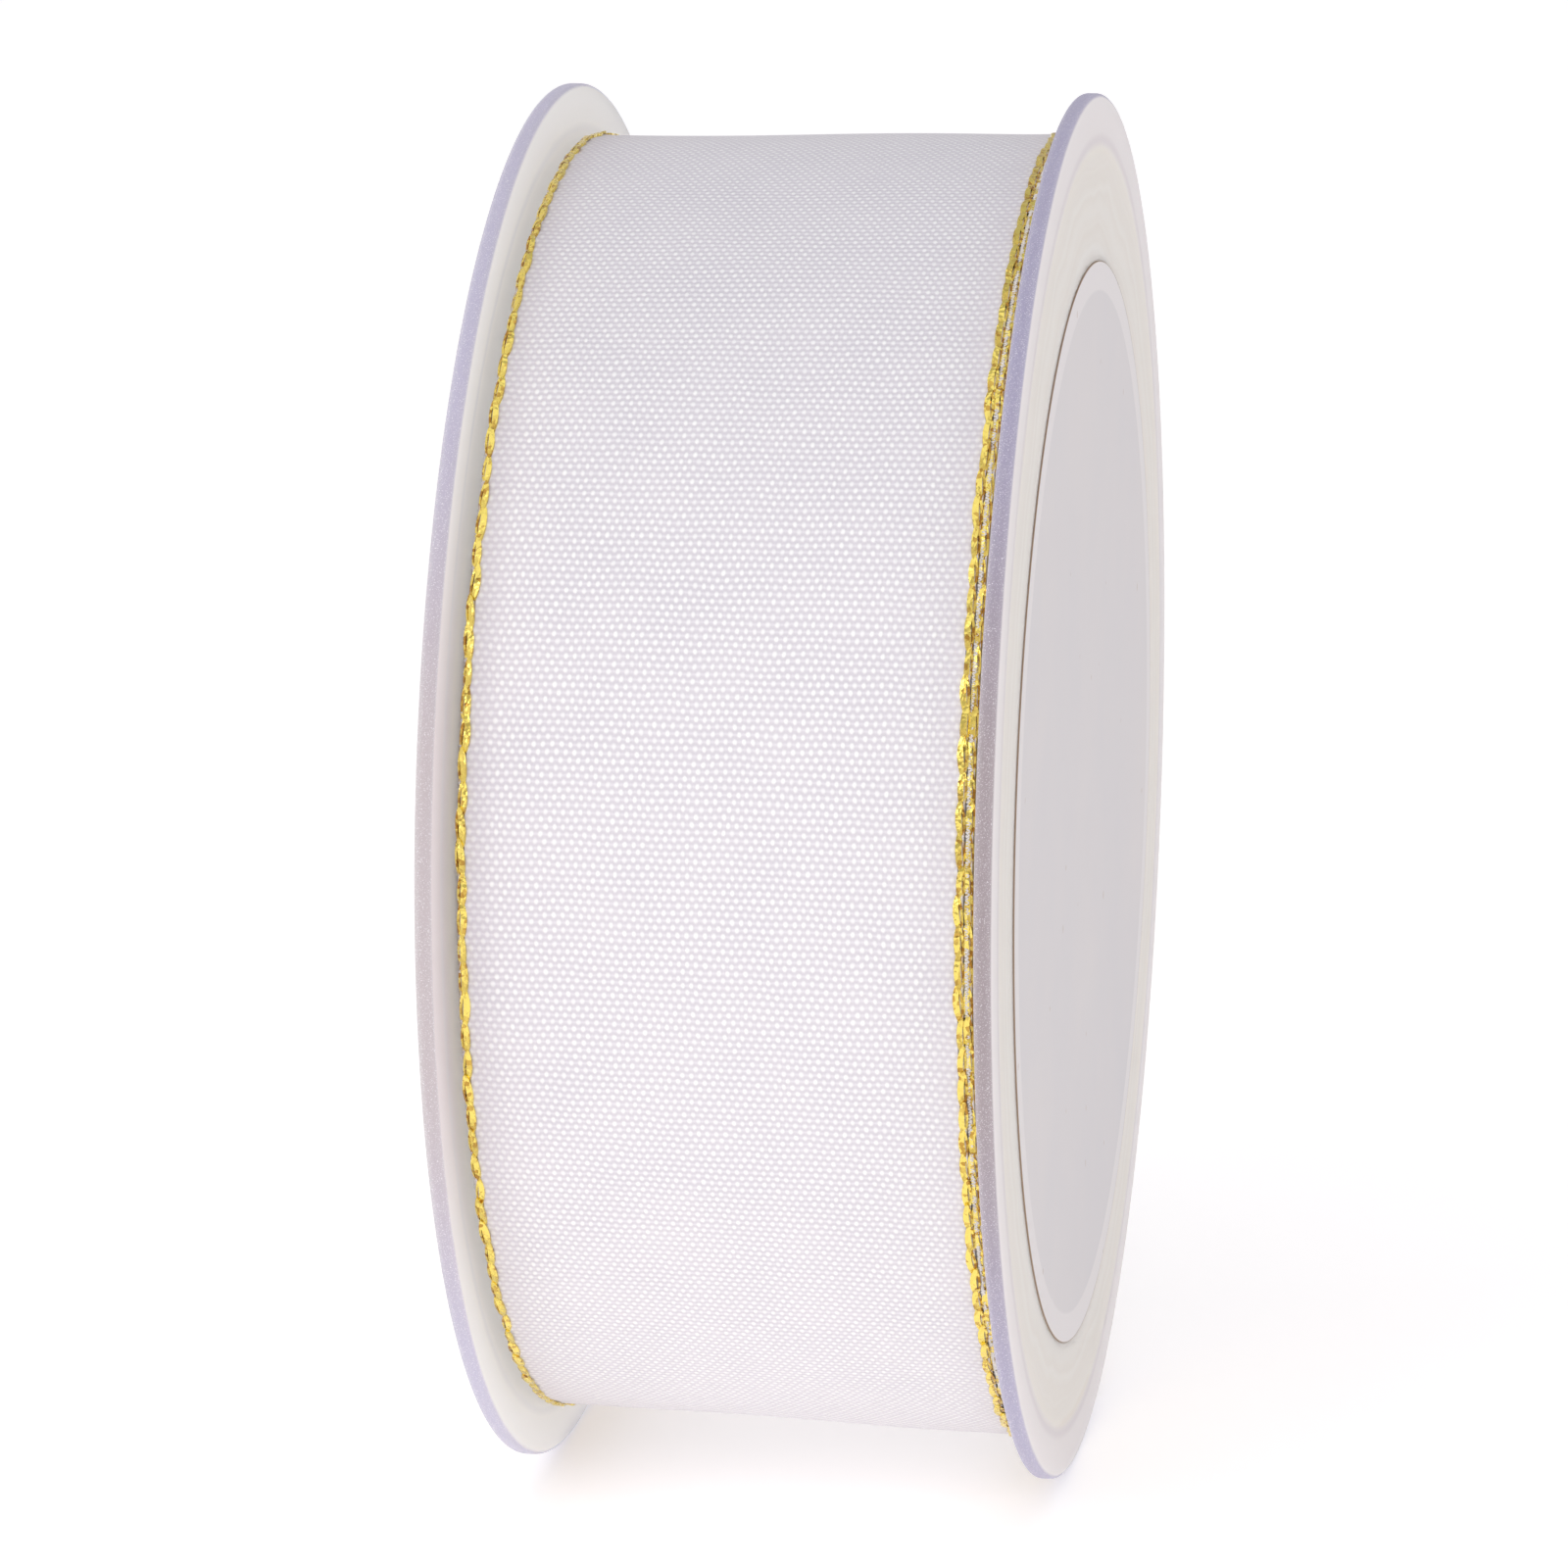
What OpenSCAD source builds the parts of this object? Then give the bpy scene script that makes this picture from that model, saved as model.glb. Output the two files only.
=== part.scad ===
// Ribbon spool: two frosted flanges plugged into a core tube, wound with a
// 40 mm woven ribbon that has a stitched metallic edge on both sides.
// The spool's axis lies along X and it stands on the rims of its flanges at z = 0.

/* [Flanges] */
// Diameter of both flanges
flange_d = 115; // [100:1:140]
// Thickness of a flange
flange_t = 1.4; // [1:0.1:2]
// Radius that rounds the rim's two corners
rim_round = 0.4; // [0.2:0.05:0.45]
// Distance between the inner faces of the flanges
flange_gap = 42; // [41.6:0.1:44]

/* [Core] */
// Outer diameter of the core tube
core_d = 58; // [50:1:64]
// Wall of the core tube
core_wall = 1.5; // [1:0.1:3]
// How far a flange's collar reaches into the core tube
collar_len = 8; // [5:0.5:12]
// Wall of the collar and of the spindle boss
collar_wall = 1.4; // [1:0.1:2]
// Radial clearance between the collar and the core tube
collar_clear = 0.06; // [0.02:0.01:0.1]
// How far each crush rib bites into the core tube's wall
crush_bite = 0.08; // [0.02:0.01:0.15]
// Diameter of the spindle bore through each flange
spindle_d = 16; // [8:0.5:25]
// Number of webs from the spindle boss to the collar
web_count = 6; // [3:1:8]

/* [Ribbon] */
// Width of the ribbon over its stitched edges
ribbon_w = 40; // [30:0.5:40.6]
// Width of the stitched metallic edge
gold_w = 0.85; // [0.6:0.05:1.5]
// Outer diameter of the wound ribbon at its middle
pack_d = 106.8; // [90:0.2:110]
// How much larger the wound radius is at the right edge than at the left
pack_lean = 0.9; // [0:0.1:1.5]
// How far the stitched edges stand above the woven middle
gold_proud = 0.12; // [0.05:0.01:0.3]
// Thickness of the woven ribbon
ribbon_t = 0.25; // [0.15:0.05:0.5]

/* [Free end] */
// Angle of the hinge line, from the lowest point of the spool towards the back
root_angle = 118; // [100:1:140]
// Angle of the ribbon's cut end, from the lowest point towards the back
tip_angle = 66; // [40:1:90]
// Clearance between the free end and the winding under it
end_clear = 0.35; // [0.3:0.05:0.8]
// Width of the clear tape across the ribbon
tape_w = 19; // [10:0.5:30]
// Length of the clear tape that lies on the ribbon, as an angle
tape_on = 8; // [4:1:15]
// Length of the clear tape past the cut end, as an angle
tape_past = 9; // [4:1:15]
// Thickness of the clear tape
tape_t = 0.06; // [0.04:0.01:0.15]

/* [Labels] */
// Diameter of the paper labels
label_d = 90; // [60:1:95]
// Thickness of the label paper
label_t = 0.12; // [0.08:0.01:0.3]
// How far below the spool's axis the right label is stuck
right_label_drop = 1.3; // [0:0.1:3]
// How far below the spool's axis the left label is stuck
left_label_drop = 0.6; // [0:0.1:3]

/* [Hidden] */
$fn = 180;
rim_r = flange_d / 2;
half_gap = flange_gap / 2;
core_r = core_d / 2;
collar_r = core_r - core_wall - collar_clear;
boss_r = spindle_d / 2 + collar_wall;
pack_r = pack_d / 2;
half_ribbon = ribbon_w / 2;
half_weave = half_ribbon - gold_w;
core_tape_t = 0.1;
core_tape_angle = 24;
wind_r = core_r + core_tape_t + 0.05;
end_r = pack_r + gold_proud + end_clear;
hinge_gap = 0.5;

// Lays a shape that is turned about its own z axis onto the spool's axis.
// Angle 0 then points straight down and 90 points to the back.
module on_axis() {
    translate([0, 0, rim_r]) rotate([0, 90, 0]) children();
}

// A flat ring or bent strip: radii r0 to r1, from x0 to x1 along the axis.
module strip(r0, r1, x0, x1, from = 0, sweep = 360) {
    on_axis() rotate([0, 0, from]) rotate_extrude(angle = sweep) translate([r0, x0]) square([r1 - r0, x1 - x0]);
}

// How much the wound ribbon's radius differs from its middle at x.
function lean(x) = pack_lean * x / ribbon_w;

// A strip on the wound ribbon, whose radii grow towards the right.
module leaning_strip(r0, r1, x0, x1, from = 0, sweep = 360) {
    on_axis() rotate([0, 0, from]) rotate_extrude(angle = sweep)
        polygon([[r0 + lean(x0), x0], [r1 + lean(x0), x0], [r1 + lean(x1), x1], [r0 + lean(x1), x1]]);
}

// A wound ring: round inside, leaning outside.
module wound_ring(r0, r1, x0, x1) {
    on_axis() rotate_extrude() polygon([[r0, x0], [r1 + lean(x0), x0], [r1 + lean(x1), x1], [r0, x1]]);
}

// Half outline of the disc with its rounded rim and the spindle bore.
module disc_outline() {
    bore_r = spindle_d / 2;
    translate([bore_r, 0]) square([rim_r - rim_round - bore_r, flange_t]);
    translate([bore_r, rim_round]) square([rim_r - bore_r, flange_t - 2 * rim_round]);
    for (y = [rim_round, flange_t - rim_round]) translate([rim_r - rim_round, y]) circle(rim_round);
}

// One flange lying on its outer face, with its hub standing up.
module flange_moulding() {
    hub_top = flange_t + collar_len;
    lead_in = 0.5;
    rotate_extrude() disc_outline();
    difference() {
        union() {
            cylinder(h = hub_top - lead_in, r = collar_r);
            translate([0, 0, hub_top - lead_in]) cylinder(h = lead_in, r1 = collar_r, r2 = collar_r - lead_in / 2);
        }
        translate([0, 0, flange_t]) cylinder(h = hub_top, r = collar_r - collar_wall);
        translate([0, 0, -1]) cylinder(h = hub_top + 2, r = spindle_d / 2);
    }
    difference() {
        cylinder(h = hub_top, r = boss_r);
        translate([0, 0, -1]) cylinder(h = hub_top + 2, r = spindle_d / 2);
    }
    for (i = [0 : web_count - 1]) rotate([0, 0, i * 360 / web_count]) {
        translate([boss_r - 0.3, -collar_wall / 2, flange_t - 0.2])
            cube([collar_r - boss_r - 0.5, collar_wall, collar_len - 1]);
        rotate([0, 0, 180 / web_count]) translate([collar_r + collar_clear + crush_bite - 0.6, 0, flange_t])
            cylinder(h = collar_len - 1.5, r = 0.6, $fn = 32);
    }
}

module left_flange() {
    color("lavender", 0.5) translate([-half_gap - flange_t, 0, 0]) on_axis() flange_moulding();
}

module right_flange() {
    color("lavender", 0.5) translate([half_gap + flange_t, 0, 0]) on_axis() mirror([0, 0, 1]) flange_moulding();
}

module core_tube() {
    color("whitesmoke") strip(core_r - core_wall, core_r, -half_gap, half_gap);
}

module core_tape() {
    color("khaki") strip(core_r, core_r + core_tape_t, -half_weave, half_weave, from = root_angle,
                         sweep = core_tape_angle);
}

module ribbon_winding() {
    color("white") wound_ring(wind_r, pack_r, -half_weave, half_weave);
}

module gold_edge_left() {
    color("gold") wound_ring(wind_r, pack_r + gold_proud, -half_ribbon, -half_weave);
}

module gold_edge_right() {
    color("gold") wound_ring(wind_r, pack_r + gold_proud, half_weave, half_ribbon);
}

// The free end starts a little past the hinge line, so that it can turn outwards.
module end_strip(r0, r1, x0, x1) {
    leaning_strip(r0, r1, x0, x1, from = tip_angle, sweep = root_angle - tip_angle - hinge_gap);
}

module ribbon_end() {
    color("white") end_strip(end_r, end_r + ribbon_t, -half_weave, half_weave);
}

module end_gold_left() {
    color("gold") end_strip(end_r, end_r + ribbon_t + gold_proud, -half_ribbon, -half_weave);
}

module end_gold_right() {
    color("gold") end_strip(end_r, end_r + ribbon_t + gold_proud, half_weave, half_ribbon);
}

// The tape lies on the ribbon, steps down over its cut end and runs on close to the winding.
module end_tape() {
    half = tape_w / 2;
    step_angle = 0.12;
    top = end_r + ribbon_t;
    past = tip_angle - tape_past;
    color("white", 0.4) difference() {
        leaning_strip(end_r, top + tape_t, -half, half, from = past, sweep = tape_past + tape_on);
        leaning_strip(end_r - 1, top, -half - 1, half + 1, from = tip_angle, sweep = tape_on + 1);
        leaning_strip(end_r + tape_t, top + 1, -half - 1, half + 1, from = past - 1,
                      sweep = tape_past + 1 - step_angle);
    }
}

module label(drop) {
    color("gainsboro") translate([0, 0, -drop]) on_axis() cylinder(h = label_t, r = label_d / 2);
}

module left_label() {
    translate([-half_gap - flange_t - label_t, 0, 0]) label(left_label_drop);
}

module right_label() {
    translate([half_gap + flange_t, 0, 0]) label(right_label_drop);
}

left_flange();
right_flange();
core_tube();
core_tape();
ribbon_winding();
gold_edge_left();
gold_edge_right();
ribbon_end();
end_gold_left();
end_gold_right();
end_tape();
left_label();
right_label();
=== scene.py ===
# %% [markdown]
# # A ribbon spool in Blender
# The object is a gift ribbon, 40 mm wide and 25 m long, wound on a core between two frosted
# plastic discs. The CAD frame says where everything goes. This notebook builds what the eye sees:
# the woven cloth, the chain of gold stitches along both edges, the frosted plastic and the labels.

# %% Load the frame
import math

import bpy
import numpy as np
from mathutils import Matrix, Vector


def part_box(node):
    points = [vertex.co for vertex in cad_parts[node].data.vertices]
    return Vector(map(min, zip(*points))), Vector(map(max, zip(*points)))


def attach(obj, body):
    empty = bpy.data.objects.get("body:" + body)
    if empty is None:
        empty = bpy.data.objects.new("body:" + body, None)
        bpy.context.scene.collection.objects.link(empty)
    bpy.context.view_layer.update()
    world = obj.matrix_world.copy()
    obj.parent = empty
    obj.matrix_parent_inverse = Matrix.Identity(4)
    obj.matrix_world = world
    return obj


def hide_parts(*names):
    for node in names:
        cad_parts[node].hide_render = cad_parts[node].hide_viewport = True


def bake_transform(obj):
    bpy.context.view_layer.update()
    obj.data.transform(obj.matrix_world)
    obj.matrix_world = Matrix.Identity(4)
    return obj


MM = 0.001
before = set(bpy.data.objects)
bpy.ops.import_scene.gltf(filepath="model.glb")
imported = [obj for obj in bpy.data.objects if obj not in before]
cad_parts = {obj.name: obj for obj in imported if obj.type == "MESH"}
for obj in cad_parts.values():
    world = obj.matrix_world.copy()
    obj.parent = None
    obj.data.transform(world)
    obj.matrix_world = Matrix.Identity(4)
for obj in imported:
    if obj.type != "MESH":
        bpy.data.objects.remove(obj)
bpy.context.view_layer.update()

# %% [markdown]
# ## Sizes
# Every size comes from the CAD nodes. A round node's corners lie on its true circle, so the
# farthest and the nearest corner give its exact radii. Angles are counted round the spool's axis:
# zero points straight down, a quarter turn points to the back. The ribbon climbs the front, goes
# over the top and comes down the back, where its cut end is taped.

# %% Measure the frame
rim_low, rim_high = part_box("left_flange")
AXIS_Z = (rim_low.z + rim_high.z) / 2


def corners(node):
    """Every corner of a CAD node as rows of x, y, z."""
    return np.array([v.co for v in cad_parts[node].data.vertices])


def radii(node):
    """The least and the greatest distance of a node from the spool's axis."""
    points = corners(node)
    away = np.hypot(points[:, 1], points[:, 2] - AXIS_Z)
    return away.min(), away.max()


def sector(node):
    """The first and the last angle that a node covers round the axis."""
    points = corners(node)
    angles = np.arctan2(points[:, 1], AXIS_Z - points[:, 2])
    return angles.min(), angles.max()


BORE_R, RIM_R = radii("left_flange")
TUBE_IN_R, CORE_R = radii("core_tube")
WIND_R = radii("ribbon_winding")[0]
HALF_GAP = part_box("core_tube")[1].x
HALF_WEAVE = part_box("ribbon_winding")[1].x
HALF_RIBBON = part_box("gold_edge_right")[1].x
GOLD_W = HALF_RIBBON - HALF_WEAVE
FLANGE_T = -rim_low.x - HALF_GAP
HUB_LEN = rim_high.x + HALF_GAP
TIP, ROOT = sector("ribbon_end")
print(f"rim {RIM_R:.5f}, gap {2 * HALF_GAP:.5f}, free end {math.degrees(ROOT - TIP):.1f} degrees")

# %% [markdown]
# The pack is wound a little tighter on the left, so it leans: its radius grows steadily from the
# left edge to the right. The two gold edges' outer radii give the lean and the middle radius.

# %% Measure the lean of the pack
GOLD_PROUD = 0.12 * MM
left_r, right_r = (radii(f"gold_edge_{side}")[1] for side in ("left", "right"))
LEAN = (right_r - left_r) / (HALF_RIBBON + HALF_WEAVE)
PACK_R = right_r - LEAN * HALF_RIBBON - GOLD_PROUD
print(f"middle radius {PACK_R:.5f}, lean {LEAN:.4f}")

# %% [markdown]
# ## The spiral
# A wound ribbon is a spiral whose radius grows by one thickness at each turn. Its area, seen from
# the side, is length times pitch, so 25 m of ribbon on this core settles the pitch and the number
# of turns. All pieces of ribbon and stitching ask the same functions where they are, counted in
# turns back from the cut end, so they always fit each other.

# %% Where the ribbon runs
RIBBON_LENGTH = 25.0
RIBBON_T = 0.2 * MM
END_LIFT = 0.22 * MM
PITCH = math.pi * (PACK_R**2 - WIND_R**2) / RIBBON_LENGTH
TURNS = (PACK_R - WIND_R) / PITCH
END_TURNS = (ROOT - TIP) / math.tau
SEAM = END_TURNS + 0.02
SIDE_STEP = 0.66 * MM
WANDER = 0.34 * MM


def smooth(t):
    """Rises from 0 to 1 without a corner at either end."""
    t = np.clip(t, 0, 1)
    return t * t * (3 - 2 * t)


def radius_at(back):
    """Radius of the ribbon's outer face, so many turns back from its cut end."""
    lift = END_LIFT * (1 - smooth(back / END_TURNS))
    return PACK_R + PITCH * (1 - back) + lift


def drift_at(back):
    """How far to the right the ribbon runs there. The last turn was laid a little to the left."""
    last_step = SIDE_STEP * smooth((back - 1.0 - SEAM) / 0.2)
    wander = WANDER * (np.sin(back / 2.1) + 0.35 * np.sin(back * 1.7) - 1.3)
    return last_step + wander * smooth((back - 2) / 2)


def length_at(back):
    """Ribbon length from the cut end."""
    return math.tau * ((PACK_R + PITCH) * back - PITCH * back**2 / 2)


def place(x, radius, back):
    """Turns spool coordinates into points, as rows of x, y, z. The pack leans more as it grows."""
    angle = TIP + math.tau * back
    radius = radius + LEAN * x * (radius - WIND_R) / (PACK_R - WIND_R)
    x, radius, angle = np.broadcast_arrays(x, radius, angle)
    return np.stack([x, radius * np.sin(angle), AXIS_Z - radius * np.cos(angle)], -1)


print(f"{TURNS:.1f} turns at {PITCH / MM:.3f} mm")

# %% [markdown]
# ## Small helpers
# One function turns a hex colour into the linear values that shaders use. One adds a node with its
# settings and links. One builds a mesh, and one freezes what Geometry Nodes made into a plain mesh
# whose object sits at the origin.

# %% Colours and nodes
RGB = {"data_type": "RGBA", "out": 2}  # a Mix node for colours, and the output that gives one
SOFT = {"interpolation_type": "SMOOTHSTEP"}  # a Map Range that eases in and out


def linear(code):
    """Linear RGBA from an sRGB hex colour such as #F4F2F6."""
    parts = [int(code[i : i + 2], 16) / 255 for i in (1, 3, 5)]
    return (*[c / 12.92 if c < 0.04045 else ((c + 0.055) / 1.055) ** 2.4 for c in parts], 1)


def add(tree, kind, inputs=(), out=0, **settings):
    """Adds a node and returns one output. A list fills inputs in order, a dict by name or number."""
    node = tree.nodes.new(kind)
    for name, value in settings.items():
        setattr(node, name, value)
    for key, value in inputs.items() if isinstance(inputs, dict) else enumerate(inputs):
        if isinstance(value, bpy.types.NodeSocket):
            tree.links.new(value, node.inputs[key])
        else:
            hexed = isinstance(value, str) and value.startswith("#")
            node.inputs[key].default_value = linear(value) if hexed else value
    return node.outputs[out] if node.outputs else None


# %% Meshes


def mesh_object(name, points, faces, material=None, edges=(), crease=40):
    """A new mesh object at the origin, smooth except where it bends by more than the crease."""
    mesh = bpy.data.meshes.new(name)
    mesh.from_pydata([tuple(p) for p in points], list(edges), faces)
    if faces:
        mesh.shade_smooth()
        mesh.set_sharp_from_angle(angle=math.radians(crease))
    if material:
        mesh.materials.append(material)
    obj = bpy.data.objects.new(name, mesh)
    bpy.context.scene.collection.objects.link(obj)
    return obj


def run_nodes(obj, tree, values):
    """Runs a Geometry Nodes tree on obj with named input values and keeps the result as its mesh."""
    modifier = obj.modifiers.new(tree.name, "NODES")
    modifier.node_group = tree
    for item in tree.interface.items_tree:
        if item.item_type == "SOCKET" and item.in_out == "INPUT" and item.name in values:
            modifier[item.identifier] = values[item.name]
    graph = bpy.context.evaluated_depsgraph_get()
    made = bpy.data.meshes.new_from_object(obj.evaluated_get(graph))
    obj.modifiers.clear()
    made.name = obj.name
    obj.data = made
    print(f"{obj.name}: {len(made.polygons)} faces")
    return obj


def start_tree(name, sockets):
    """A Geometry Nodes tree with a geometry input and these others. Returns it and its inputs."""
    tree = bpy.data.node_groups.new(name, "GeometryNodeTree")
    tree.interface.new_socket("Geometry", in_out="INPUT", socket_type="NodeSocketGeometry")
    for label, kind in sockets.items():
        tree.interface.new_socket(label, in_out="INPUT", socket_type="NodeSocket" + kind)
    tree.interface.new_socket("Geometry", in_out="OUTPUT", socket_type="NodeSocketGeometry")
    return tree, add(tree, "NodeGroupInput").node.outputs


def end_tree(tree, geometry, material):
    """Ends a tree: its instances become plain mesh, which gets the material."""
    plain = add(tree, "GeometryNodeRealizeInstances", [geometry])
    painted = add(tree, "GeometryNodeSetMaterial", {"Geometry": plain, "Material": material})
    add(tree, "NodeGroupOutput", [painted])
    return tree


# %% [markdown]
# ## Camera, light and floor
# The camera stands in front, a little to the right and above, with a long lens. Its small shift
# only centres the picture. The light is a plain studio: a soft key from the front left, a weaker
# fill on the right, an even light from above, and a pale floor that glows a little like a light
# table and throws light back up.

# %% Camera
CAMERA_TURN, CAMERA_RISE = 9.14, 12.08
CAMERA_DISTANCE = 0.6353
CENTRE = (0.0, 0.0, AXIS_Z)


def aimed(name, data, turn, rise, distance):
    """Puts a camera or light at a turn to the right and a rise in degrees, aimed at the spool."""
    turn, rise = math.radians(turn), math.radians(rise)
    flat = distance * math.cos(rise)
    spot = Vector((flat * math.sin(turn), -flat * math.cos(turn), distance * math.sin(rise)))
    obj = bpy.data.objects.new(name, data)
    obj.location = spot + Vector(CENTRE)
    obj.rotation_euler = (-spot).to_track_quat("-Z", "Y").to_euler()
    bpy.context.scene.collection.objects.link(obj)
    return obj


camera_data = bpy.data.cameras.new("camera")
camera_data.lens = 174.2
camera_data.sensor_width = 36.0
camera_data.shift_x = -0.0229
camera_data.shift_y = -0.0041
camera = aimed("camera", camera_data, CAMERA_TURN, CAMERA_RISE, CAMERA_DISTANCE)
bpy.context.scene.camera = camera
bpy.context.scene.view_settings.view_transform = "Standard"

# %% Lights
for name, turn, rise, distance, size, watts, tint in (
    ("key", -30, 22, 0.9, 0.5, 1.55, "#FFFDF8"),
    ("fill", 62, 18, 1.1, 0.5, 1.2, "#FBF7FA"),
):
    light = bpy.data.lights.new(name, "AREA")
    light.size = size
    light.energy = watts
    light.color = linear(tint)[:3]
    aimed(name, light, turn, rise, distance)
sky = bpy.data.lights.new("overhead", "SUN")
sky.energy = 0.54
sky.angle = math.radians(70)
aimed("overhead", sky, -20, 62, 1.0)
world = bpy.data.worlds.new("studio")
world.use_nodes = True
air = world.node_tree
direction = add(air, "ShaderNodeTexCoord", out="Generated")
upwards = add(air, "ShaderNodeSeparateXYZ", [direction], out="Z")
height = add(air, "ShaderNodeMapRange", [upwards, 0.0, 0.9], **SOFT)
tints = {0: height, 6: "#F8F3F2", 7: "#F2F3FA"}
background = air.nodes["Background"].inputs
air.links.new(add(air, "ShaderNodeMix", tints, **RGB), background["Color"])
background["Strength"].default_value = 0.59
bpy.context.scene.world = world


# %% A material with its Principled shader


def finish(name, colour, roughness, **constants):
    """A node material. constants are Principled inputs that are the same all over the surface."""
    material = bpy.data.materials.new(name)
    material.use_nodes = True
    tree = material.node_tree
    shader = tree.nodes["Principled BSDF"].inputs
    shader["Base Color"].default_value = linear(colour)
    shader["Roughness"].default_value = roughness
    for key, value in constants.items():
        shader[key.replace("_", " ")].default_value = value
    return material, tree, shader


# %% Floor
FLOOR = 3.0
paper, _, glow = finish("pale_floor", "#FAF8F6", 0.9, Emission_Strength=0.36)
glow["Emission Color"].default_value = linear("#FFFFFF")
square = [(-FLOOR, -FLOOR, 0), (FLOOR, -FLOOR, 0), (FLOOR, FLOOR, 0), (-FLOOR, FLOOR, 0)]
floor = mesh_object("floor", square, [(0, 1, 2, 3)], paper)

# %% [markdown]
# ## Frosted polypropylene
# The discs are moulded in translucent polypropylene against a sand-blasted mould. Light goes
# through and is scattered, so what lies close behind shows as a blur: over the pack the disc looks
# creamy with faint rings, and outside it pale grey. Its narrow edge gathers light from the whole
# disc and looks lavender; that rim colour is painted light, paler on the left disc than on the right.
# The blasted grain is a few tenths of a millimetre and sparkles; on the rim its glints are painted.
#
# The left disc's inner face is seen along the narrow gap beside the pack. Hardly any light falls
# in there, it comes through the disc instead, so that face scatters it much further than the rest.
# Its colour there is painted: mauve shade in the gap, a blurred cream painted reflection of the gold
# edge, and paler towards top and bottom, where more light falls in.

# %% Frosted polypropylene
SCATTER, SCATTER_IN_GAP = 3 * MM, 40 * MM
REFLECTION_DEPTH = 4.2 * MM  # how far inside the pack's radius the painted cream reflection of the gold edge lies


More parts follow.
